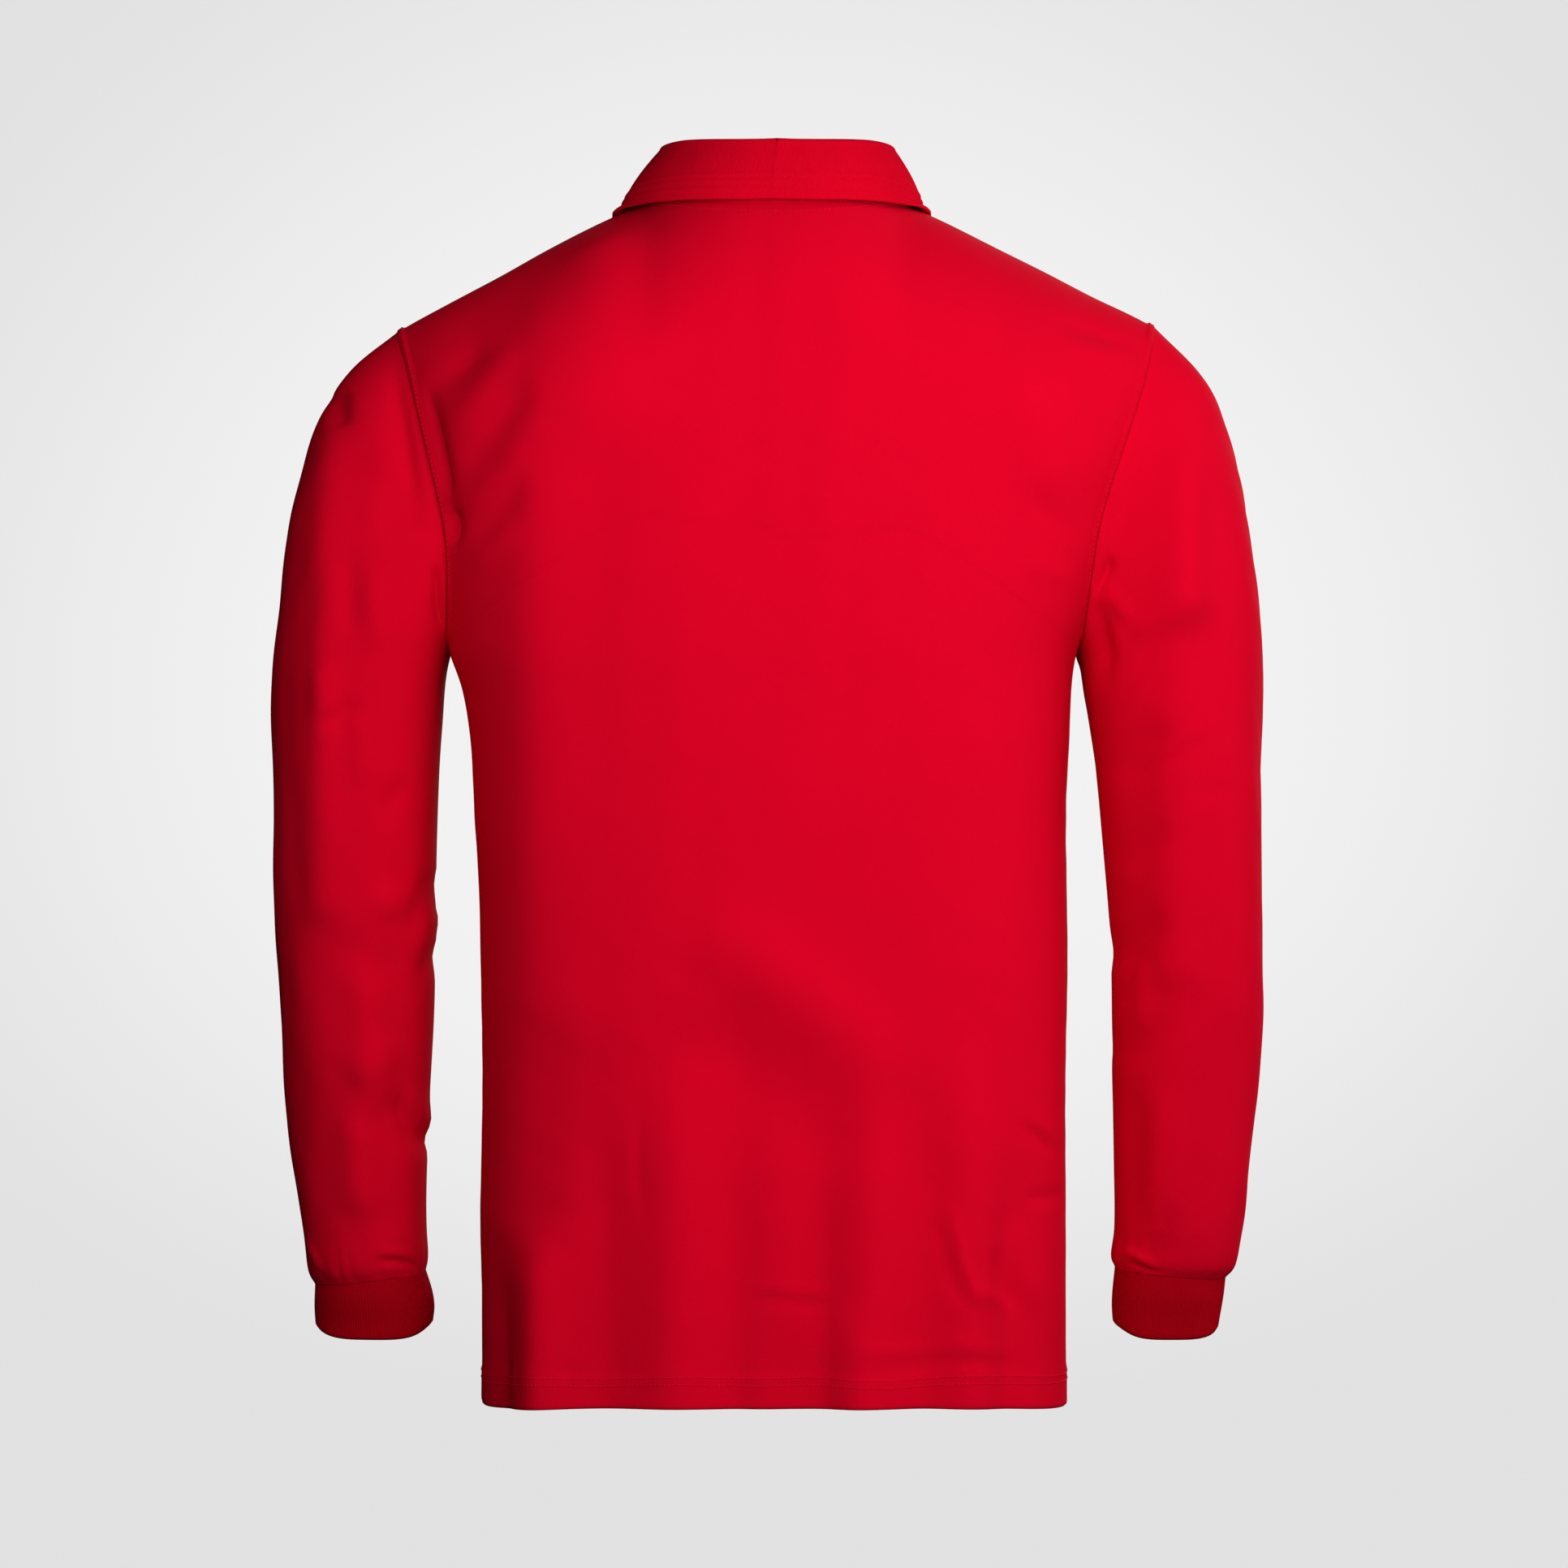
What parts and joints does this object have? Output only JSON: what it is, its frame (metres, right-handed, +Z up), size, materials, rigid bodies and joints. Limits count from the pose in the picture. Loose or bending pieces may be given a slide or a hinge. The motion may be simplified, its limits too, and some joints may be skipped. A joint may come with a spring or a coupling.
{
  "type": "long-sleeve golf shirt",
  "caption": "Long-sleeve golf shirt, worn and filled out: hollow body, set-in sleeves with rib cuffs, fold-over rib collar and a buttoned placket.",
  "frame": {"origin": "middle of the neck opening, at the height where the collar's edge meets the shoulders", "axes": "+Z up along the body, +Y towards the wearer's front, +X towards the wearer's right; the back faces -Y"},
  "size_m": [0.6107, 0.2493, 0.7717],
  "materials": {
    "body_knit": "fine, nearly smooth cotton knit, matt with a slight bloom",
    "rib_knit": "flat-knit rib, matt",
    "button": "dyed-to-match resin, soft gloss"
  },
  "bodies": {
    "root": {"back": "body_knit", "front": "body_knit", "sleeve_left": "body_knit", "sleeve_right": "body_knit", "cuff_left": "rib_knit", "cuff_right": "rib_knit", "collar": "rib_knit", "placket_upper": "body_knit", "placket_under": "body_knit", "button_1": "button", "button_2": "button", "button_3": "button"}
  },
  "joints": []
}
